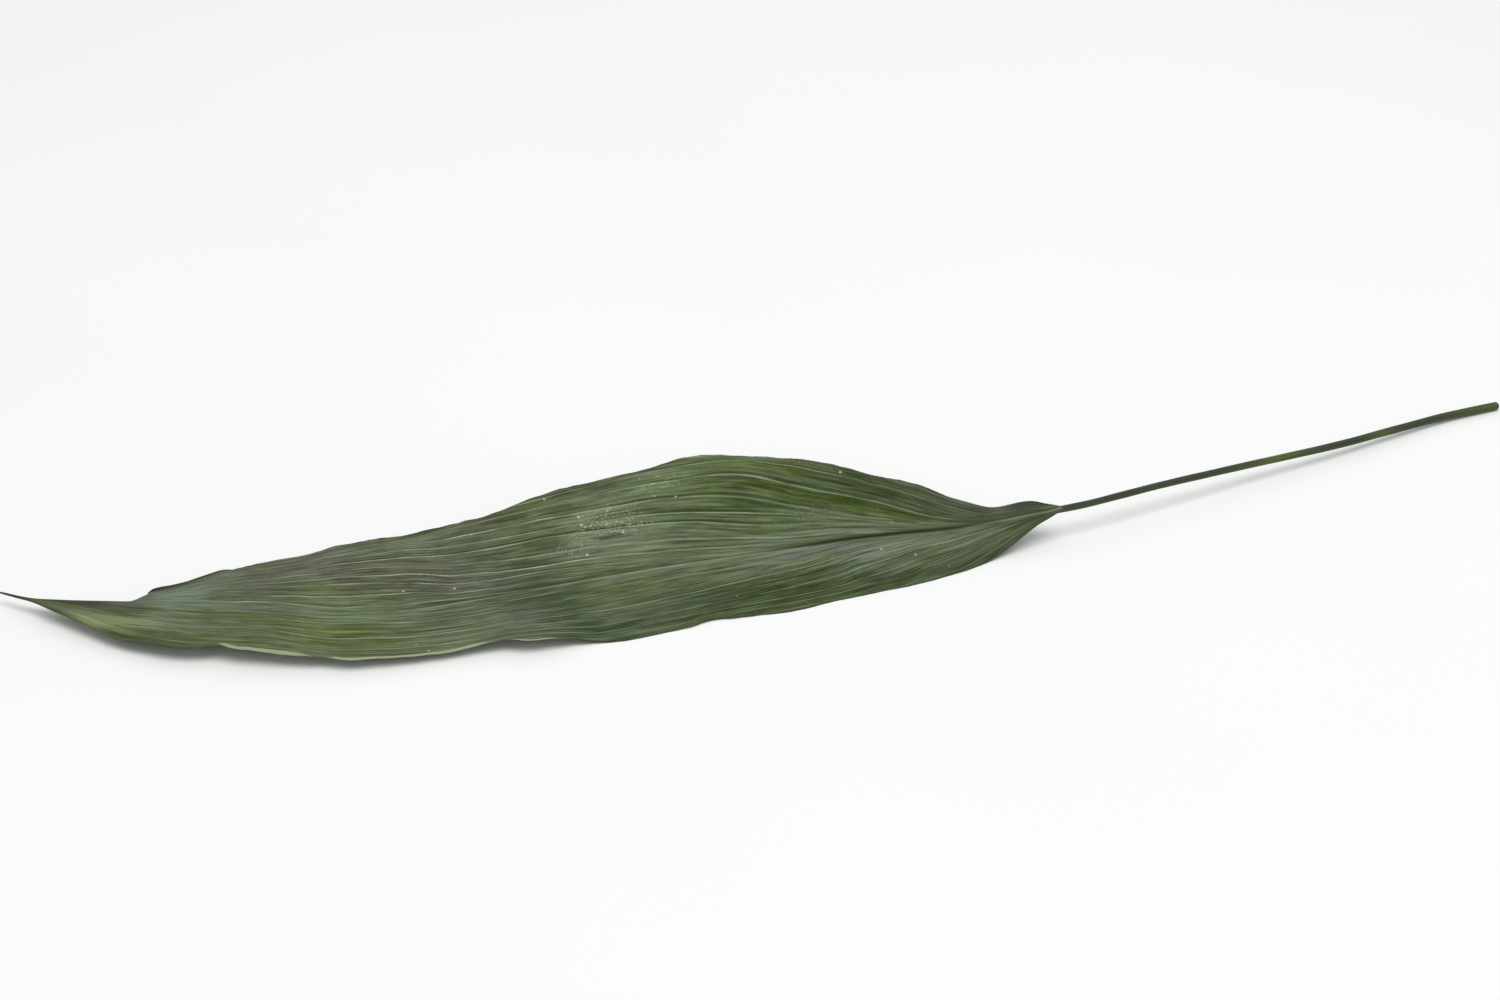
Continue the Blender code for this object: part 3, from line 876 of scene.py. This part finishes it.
def make_board():
    """Matt white painted board, very slightly uneven in tone."""
    material, tree, shader = start_material("matt_white_board")
    mottle = add(tree, NOISE, add(tree, PLACE).outputs["Object"], 3.0, 2.0)
    share = add(tree, RISE, mottle, 0.3, 0.7, 0.0, 0.15)
    tone = add(tree, MIX, share, linear(BOARD_WHITE), linear(BOARD_SHADE))
    tree.links.new(first_output(tone), shader.inputs["Base Color"])
    shader.inputs["Roughness"].default_value = 0.9
    return material


# Soft patches of each tint, film and scar on the upper skin, among them painted sheen and painted
# shade: middle run, middle reach, half run, half reach and strength, with the reaches and the
# strength in hundredths.
TINTS_AND_PAINTED_LIGHT = {
    "young": (
        (143, -31, 16, 15, 95), (150, -60, 24, 34, 60), (140, 38, 22, 14, 45),
        (230, 88, 20, 14, 30), (374, 72, 34, 22, 85), (346, -88, 26, 12, 35), (470, -10, 8, 40, 50),
        (398, 50, 22, 20, 15), (300, -80, 14, 30, 55),
    ),
    # Lilac-grey patches: partly the leaf's own tone, partly a painted sheen where the far half and
    # the crest near the tip turn up to the light.
    "lilac": (
        (135, 78, 20, 22, 90), (180, 55, 50, 45, 75), (222, 84, 22, 16, 35), (291, 96, 16, 10, 60),
        (215, 20, 26, 20, 70), (222, -55, 16, 60, 70), (185, -28, 20, 22, 65),
        (108, 50, 12, 60, 55), (76, -40, 16, 14, 55), (48, -5, 26, 10, 90), (352, -34, 28, 8, 50),
        (428, 50, 14, 30, 60), (436, -30, 16, 50, 50),
    ),
    "cool": (
        (242, -30, 12, 32, 85), (258, -80, 22, 26, 85), (290, -62, 20, 20, 55),
        (92, 25, 14, 10, 50), (322, -55, 10, 14, 60), (215, 12, 10, 8, 50), (455, 45, 10, 40, 60),
    ),
    "fresh": (
        (335, 62, 38, 30, 85), (300, 85, 18, 20, 50), (370, 42, 30, 16, 30), (232, 66, 10, 16, 40),
        (120, -55, 24, 24, 45), (398, 20, 20, 16, 30),
    ),
    # Blue-grey patches: a painted sheen, the pale room reflected where the blade and its midrib
    # crest face up.
    "blue": (
        (76, 45, 15, 50, 78), (84, -4, 34, 6, 65), (365, -10, 30, 8, 80), (390, -40, 20, 20, 50),
        (148, -10, 12, 4, 60), (350, 10, 20, 4, 55), (420, -80, 18, 25, 35), (92, 90, 12, 16, 35),
        (150, -16, 14, 5, 35),
    ),
    "cream": (
        (42, -82, 14, 22, 100), (60, -52, 14, 14, 55),
    ),
    # Bloom patches: a grey waxy film, partly a painted sheen where the blade turns up to the light.
    "bloom_and_sheen": (
        (362, -30, 26, 14, 45), (92, -48, 18, 16, 40), (168, -14, 22, 10, 50),
        (188, -50, 14, 20, 30), (272, 52, 22, 22, 75), (308, 80, 18, 16, 100),
        (350, 86, 14, 12, 35), (292, 20, 40, 14, 70), (345, 20, 36, 18, 40), (385, 12, 24, 8, 60),
        (400, -26, 26, 16, 60), (310, -10, 40, 8, 25), (434, -46, 14, 24, 50), (205, 83, 30, 8, 45),
        (320, 73, 12, 10, 100), (184, -6, 14, 8, 50), (120, 5, 30, 8, 50), (184, -78, 20, 14, 35),
    ),
    # Shade patches: partly a deep olive of the leaf, partly painted shade on the hump's slopes
    # turned from the light and at the base over surfaces that would take a sheen.
    "shade": (
        (374, 46, 18, 20, 50), (384, 82, 22, 12, 40), (328, 44, 16, 12, 45), (346, 60, 14, 10, 40),
        (417, 20, 14, 14, 45), (252, 95, 16, 10, 40), (236, -98, 14, 12, 60), (390, 70, 28, 22, 40),
        (88, -60, 14, 12, 30), (308, 20, 18, 12, 45), (396, 42, 16, 20, 35), (250, -84, 26, 16, 45),
        (300, 55, 30, 16, 25), (300, -78, 26, 24, 85), (345, -88, 60, 16, 70),
        (230, 32, 26, 34, 48), (222, -15, 22, 20, 45), (448, 50, 16, 45, 100),
        (440, -90, 18, 24, 95), (456, -50, 14, 40, 70), (412, -52, 26, 12, 35),
        (474, 0, 12, 120, 90), (462, 60, 14, 60, 60), (245, -60, 16, 50, 35),
        (335, -72, 28, 18, 85), (385, -80, 40, 20, 85), (350, -48, 36, 10, 45),
        (412, 75, 26, 30, 85), (388, 90, 24, 16, 70), (446, 15, 18, 16, 50), (62, -93, 15, 19, 100),
        (84, -84, 16, 12, 35), (46, -36, 14, 12, 25), (26, -90, 14, 20, 60), (240, 4, 60, 3, 30),
        (300, -40, 50, 20, 30),
    ),
    "dust": (
        (276, 55, 18, 14, 90), (256, 33, 9, 8, 65), (306, 79, 16, 10, 70), (290, 42, 16, 7, 40),
        (262, 42, 26, 30, 22), (202, 78, 10, 10, 25), (362, 30, 26, 20, 40),
    ),
    "scar": (
        (393, -78, 3, 5, 75), (180, 33, 3.2, 3, 70), (201, 76, 4, 2, 80), (448, -8, 5, 5, 50),
        (90, -12, 5, 3, 40),
    ),
}
LEAST_DUST = 0.02

# How far a rim bulges, in half thicknesses, and how far a pole stands off, in steps of rows.
RIM_BULGE = 0.8
POLE_STEP = 0.3

# Shares of the flat sheet that the rims' strips and the end fans take up.
RIM_STRIP = 0.004
FAN_STRIP = 0.003


def patches(run, reach, table):
    """The sum of a table's soft patches, held between zero and one."""
    total = 0.0 * run * reach
    for *spot, strength in table:
        total = total + strength / PERCENT * patch(run, PERCENT * reach, *spot)
    return np.clip(total, 0.0, 1.0)


def blade_lines_and_painted_light(run, reach, width):
    """Lines, painted light and painted shade on the upper skin: midrib, groove, young rib, fold,
    rim and edge.

    The pale midrib line is strongest a third of the way along. Painted shade in the groove beside
    it takes over towards the base, where it ends in a young yellow-green line; a pale shelf on the
    groove's near side is a painted sheen, and the fold a painted highlight.
    """
    across = reach * width
    inward = width * (1.0 - np.abs(reach))
    near = reach < 0.0
    shown = 0.4 + 0.25 * smoothstep(run, 250.0, 275.0) - 0.45 * smoothstep(run, 330.0, 352.0)
    midrib = shown * bell(across + 0.6, 0.55) * smoothstep(run, 150.0, 180.0)
    # A pale shelf on the groove's near side, a painted sheen where that side faces up.
    shelf = 0.45 * between(run, 330.0, 352.0, 430.0, 450.0)
    midrib = midrib + shelf * bell(across + 1.3, 0.9)
    # Painted shade in a groove beside the midrib: faint from run 160 on, full from about 340 to
    # 430.
    groove = between(run, 326.0, 350.0, 425.0, 460.0)
    groove = np.maximum(groove, 0.65 * smoothstep(run, 155.0, 180.0))
    groove = 0.95 * groove * bell(across - 0.9, 0.35 + 0.65 * groove)
    young_rib = smoothstep(run, 440.0, 458.0) * bell(across + 0.2, 0.7)
    # A pale line along the crest of the crease near the tip, a painted highlight carried in with
    # the bloom.
    fold = bell(reach - 0.1 + 0.0031 * (run - 85.0), 0.055)
    fold = 0.45 * fold * between(run, 70.0, 95.0, 160.0, 185.0)

    # The near margin shows pale where it curls up, its underside partly lightened as a painted
    # highlight, and in a thin pale line near run 222; elsewhere both margins have a thin dark edge
    # of painted shade. The same dark mark darkens the very tip and paints shade on the crest and
    # far corner near the tip, on the far wing at the base and in two places by the stalk.
    turn = curl(run, inward, np.where(near, -1.0, 1.0))[1]
    thin_line = patch(run, reach, 222.0, -1.0, 9.0, 0.5) * (1.0 - smoothstep(inward, 0.4, 1.1))
    rim = np.clip(near * (0.9 * smoothstep(turn, 0.25, 0.9) + 0.6 * thin_line), 0.0, 1.0)
    edge = (1.0 - smoothstep(inward, 0.3, 1.3)) * np.where(near, 0.45, 0.5) * (1.0 - rim)
    edge = edge * smoothstep(run, 2.0, 10.0)
    tip = 1.0 - smoothstep(run, 6.0, 22.0)
    wing = smoothstep(run, 446.0, 462.0) * smoothstep(across, 1.5, 4.0)
    crest = patch(run, reach, 36.0, -0.1, 20.0, 0.22)
    corner = patch(run, reach, 61.0, 1.0, 12.0, 0.2) + 0.3 * patch(run, reach, 59.0, 0.45, 6.0, 0.4)
    stalk = patch(run, reach, 443.0, 0.48, 9.0, 0.25) + patch(run, reach, 468.0, -0.4, 9.0, 0.6)
    corner = corner * ~near
    for strength, place in ((0.75, tip), (0.7, wing), (0.6, crest), (0.85, corner), (0.45, stalk)):
        edge = np.maximum(edge, strength * place)
    return midrib, groove, young_rib, fold, rim, edge


def make_blade():
    """The blade as one closed shell: upper skin, rounded rims and lower skin round each row."""
    run = blade_rows()[:, None]
    reach = np.linspace(-1.0, 1.0, UPPER_COLUMNS)[None, :]
    upper, under, width, count, gap, pale, furrow = blade_skin(run, reach)
    columns = np.arange(UPPER_COLUMNS)
    at_rim = np.minimum(columns, columns[::-1]) < RIM_COLUMNS
    keep = columns[(columns % LOWER_STEP == 0) | at_rim]
    lower = under[:, keep][:, ::-1]

    def rim_line(column, inner):
        """The rim's rounded middle line: half way down the edge and a little past it."""
        outward = unit(upper[:, column] - upper[:, inner])
        down = under[:, column] - upper[:, column]
        half = 0.5 * np.linalg.norm(down, axis=-1, keepdims=True)
        line = upper[:, column] + 0.5 * down + outward * half * RIM_BULGE
        line[:, 2] = np.maximum(line[:, 2], 0.0)
        return line[:, None]

    ring = np.concatenate([upper, rim_line(-1, -3), lower, rim_line(0, 2)], 1)
    sides = ring.shape[1]
    middle = ring[[0, 1, -2, -1]].mean(1)
    tip_pole = middle[0] + (middle[0] - middle[1]) * POLE_STEP
    base_pole = middle[3] + (middle[3] - middle[2]) * POLE_STEP
    column = np.tile(np.arange(sides), BLADE_ROWS + 1)
    below = (column >= UPPER_COLUMNS) & (column < sides - 1)
    finishes = [make_cuticle(), make_underside()]
    layout = blade_layout(len(keep), run.ravel())
    blade = make_piece("leaf_blade", ring, [tip_pole, base_pole], finishes, below, layout)
    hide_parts("aspidistra_leaf")

    def round_ring(values):
        """A value of the upper columns carried round the rims and the lower columns."""
        values = np.clip(np.broadcast_to(values, count.shape), 0.0, None)
        return np.concatenate([values, values[:, -1:], values[:, keep][:, ::-1], values[:, :1]], 1)

    midrib, groove, young_rib, fold, rim, edge = blade_lines_and_painted_light(run, reach, width)
    tints_and_painted_light = {name: patches(run, reach, table) for name, table in TINTS_AND_PAINTED_LIGHT.items()}
    young = np.maximum(tints_and_painted_light["young"], young_rib)
    cream = np.maximum(tints_and_painted_light["cream"], 0.8 * young_rib)
    shade = tints_and_painted_light["shade"] * (1.0 - 0.8 * young_rib)
    for name, values in (
        ("leaf_place", (run, count, gap)),
        ("leaf_lines", (pale * smoothstep(run, 20.0, 60.0), furrow, midrib)),
        ("leaf_tints_and_sheen", (young, tints_and_painted_light["lilac"], tints_and_painted_light["cool"])),
        ("leaf_flushes_and_sheen", (tints_and_painted_light["fresh"], tints_and_painted_light["blue"], cream)),
        ("leaf_films_sheen_and_shade", (np.maximum(tints_and_painted_light["bloom_and_sheen"], fold), shade, tints_and_painted_light["dust"] + LEAST_DUST)),
        ("leaf_rim_edge_and_scar", (rim, edge, np.maximum(tints_and_painted_light["scar"], groove))),
    ):
        give_attribute(blade, name, [round_ring(value) for value in values])


def tube_layout(start, finish, stations):
    """Where a closed tube's quads and end fans lie on the flat sheet.

    start and finish are the two edges of each strip of faces, and stations the rows' places.
    """
    sides = len(start)
    row, side = np.meshgrid(np.arange(len(stations) - 1), np.arange(sides), indexing="ij")
    corners = (
        (stations[row], start[side]),
        (stations[row + 1], start[side]),
        (stations[row + 1], finish[side]),
        (stations[row], finish[side]),
    )
    quads = np.stack([np.stack(corner, -1) for corner in corners], 2).reshape(-1, 4, 2)
    fans = []
    for place, pole_place, first, second in (
        (stations[0], stations[0] - FAN_STRIP, start, finish),
        (stations[-1], stations[-1] + FAN_STRIP, finish, start),
    ):
        pole = np.stack([np.full(sides, pole_place), 0.5 * (start + finish)], -1)
        edges = [np.stack([np.full(sides, place), edge], -1) for edge in (first, second)]
        fans.append(np.stack([pole, *edges], 1))
    return quads, np.concatenate(fans)


def blade_layout(lower_columns, run):
    """The blade laid flat: the upper skin over three fifths of the sheet, the lower below it."""
    upper = np.linspace(0.40, 0.99, UPPER_COLUMNS)
    lower = np.linspace(0.35, 0.01, lower_columns)
    start = np.concatenate([upper, [lower[0] + RIM_STRIP], lower, [upper[0] - RIM_STRIP]])
    ends = [upper[-1] + RIM_STRIP], lower, [lower[-1] - RIM_STRIP]
    finish = np.concatenate([upper[1:], *ends, upper[:1]])
    return tube_layout(start, finish, 0.005 + 0.99 * run / run[-1])


def make_petiole():
    """The petiole: a channelled round section carried along its curve to a rounded, cut end."""
    whole_end = LEAF_LENGTH - CUT_ROUNDING
    widest = PETIOLE[-1][3]
    ease = np.radians(np.linspace(15.0, 90.0, CUT_ROWS))
    face_share, face_depth = np.array(CUT_FACE).T
    plain = np.linspace(PETIOLE[0][0], whole_end, PETIOLE_ROWS)
    rounded = whole_end + CUT_ROUNDING * np.sin(ease)
    stations = np.concatenate([plain, rounded, LEAF_LENGTH - face_depth])
    shrink = 1.0 - CUT_ROUNDING / widest * (1.0 - np.cos(ease))
    shrink = np.concatenate([np.ones(PETIOLE_ROWS), shrink, face_share * shrink[-1]])
    run = stations[:, None]
    turn = np.linspace(0.0, TAU, PETIOLE_SIDES, endpoint=False)[None, :] - 0.5 * math.pi
    radius = along(run, PETIOLE, 3)
    height = np.maximum(along(run, PETIOLE, 2), radius)
    channel = CHANNEL_DEPTH * np.maximum(0.0, np.sin(turn)) ** 6
    wander = 1.3 * ripples(run, turn * 2.0, 90.0, 9.0, 31)
    ribs = PETIOLE_RIB_HEIGHT * np.sin(turn * PETIOLE_RIBS + wander)
    uneven = 0.02 * ripples(run, turn * 1.5, 26.0, 5.0, 32)
    swell = 1.0 - channel + (ribs + uneven) * (run <= whole_end)
    swell = radius * swell * shrink[:, None]
    middle = np.stack([run, along(run, PETIOLE, 1), height], -1)[:, 0]
    heading = np.gradient(middle[:PETIOLE_ROWS], axis=0)
    heading = np.concatenate([heading, np.repeat(heading[-1:], len(run) - PETIOLE_ROWS, 0)])
    heading = unit(heading)
    sideways = unit(np.cross([0.0, 0.0, 1.0], heading))
    upright = np.cross(heading, sideways)
    ring = (
        middle[:, None]
        - sideways[:, None] * (swell * np.cos(turn))[..., None]
        + upright[:, None] * (swell * np.sin(turn))[..., None]
    )
    ring[..., 2] = np.maximum(ring[..., 2], 0.0)
    ring[..., 0] = np.minimum(ring[..., 0], LEAF_LENGTH)
    poles = [middle[0] - heading[0] * POLE_STEP, middle[-1]]
    cut = np.arange(len(run) - 1) >= PETIOLE_ROWS + CUT_ROWS - 1
    pith = np.repeat(np.concatenate([cut, [False, True]]), PETIOLE_SIDES)
    around = np.linspace(0.01, 0.99, PETIOLE_SIDES + 1)
    lengths = np.linalg.norm(np.diff(ring.mean(1), axis=0), axis=-1)
    lengths = lengths + 0.35 * np.abs(np.diff(shrink)) * widest
    places = 0.01 + 0.98 * np.concatenate([[0.0], np.cumsum(lengths)]) / lengths.sum()
    layout = tube_layout(around[:-1], around[1:], places)
    finishes = [make_rind(), make_cut_pith()]
    piece = make_piece("petiole", ring, poles, finishes, pith, layout)
    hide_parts("aspidistra_leaf")

    # The rind is yellower inside the blade's base, in two short stretches and near the cut.
    fresh = 0.9 * (1.0 - smoothstep(run, 466.0, 486.0)) + 0.5 * smoothstep(run, 700.0, 730.0)
    fresh = fresh + 0.8 * bell(run - 602.0, 17.0) + 0.6 * bell(run - 666.0, 8.0)
    give_attribute(piece, "petiole_place", (run, turn, np.clip(fresh, 0.0, 1.0)))


# Half the side of the square board under the leaf, in metres.
FLOOR_HALF = 6.0

# The photograph's point of view: which way and how far the camera stands from what it looks at.
CAMERA_AZIMUTH = -14.0
CAMERA_ELEVATION = 30.0
CAMERA_DISTANCE = 1.2
CAMERA_TARGET = (-0.02316, 0.05158, 0.0)
CAMERA_LENS = 60.0

# Soft panels: name, azimuth and elevation in degrees, distance and size in metres, watts.
PANELS = (
    ("panel_behind", 166.0, 40.0, 2.6, 2.0, 5.5),
    ("panel_above", 10.0, 78.0, 3.0, 2.6, 53.0),
)
ROOM_WHITE = "#f4f6f8"
ROOM_LIGHT = 0.62


def make_floor():
    """A wide level board under the leaf."""
    mesh = bpy.data.meshes.new("floor")
    ways = ((-1.0, -1.0), (1.0, -1.0), (1.0, 1.0), (-1.0, 1.0))
    corners = [(x * FLOOR_HALF, y * FLOOR_HALF, 0.0) for x, y in ways]
    mesh.from_pydata(corners, [], [(0, 1, 2, 3)])
    mesh.materials.append(make_board())
    floor = new_object("floor", mesh)


def aim(thing, azimuth, elevation, distance, target):
    """Stands a camera or a lamp off from its target at these angles, turned to look there."""
    a = math.radians(azimuth)
    e = math.radians(elevation)
    back = Vector((math.sin(a) * math.cos(e), -math.cos(a) * math.cos(e), math.sin(e)))
    thing.location = Vector(target) + back * distance
    thing.rotation_euler = back.to_track_quat("Z", "Y").to_euler()


def make_camera():
    """The camera of the photograph."""
    data = bpy.data.cameras.new("camera")
    data.lens = CAMERA_LENS
    data.sensor_width = 36.0
    data.sensor_fit = "HORIZONTAL"
    data.clip_start = 0.01
    camera = new_object("camera", data)
    aim(camera, CAMERA_AZIMUTH, CAMERA_ELEVATION, CAMERA_DISTANCE, CAMERA_TARGET)
    bpy.context.scene.camera = camera


def make_lights():
    """Soft studio light: a weak panel behind, a strong wide one above, and an even pale room."""
    for name, azimuth, elevation, distance, size, watts in PANELS:
        data = bpy.data.lights.new(name, "AREA")
        data.shape = "DISK"
        data.size = size
        data.energy = watts
        aim(new_object(name, data), azimuth, elevation, distance, (0.0, 0.0, 0.0))
    world = bpy.data.worlds.new("pale_room")
    world.use_nodes = True
    background = world.node_tree.nodes["Background"]
    background.inputs["Color"].default_value = linear(ROOM_WHITE)
    background.inputs["Strength"].default_value = ROOM_LIGHT
    bpy.context.scene.world = world
    bpy.context.scene.view_settings.view_transform = "Standard"


make_camera()
make_lights()
make_floor()
make_blade()
make_petiole()
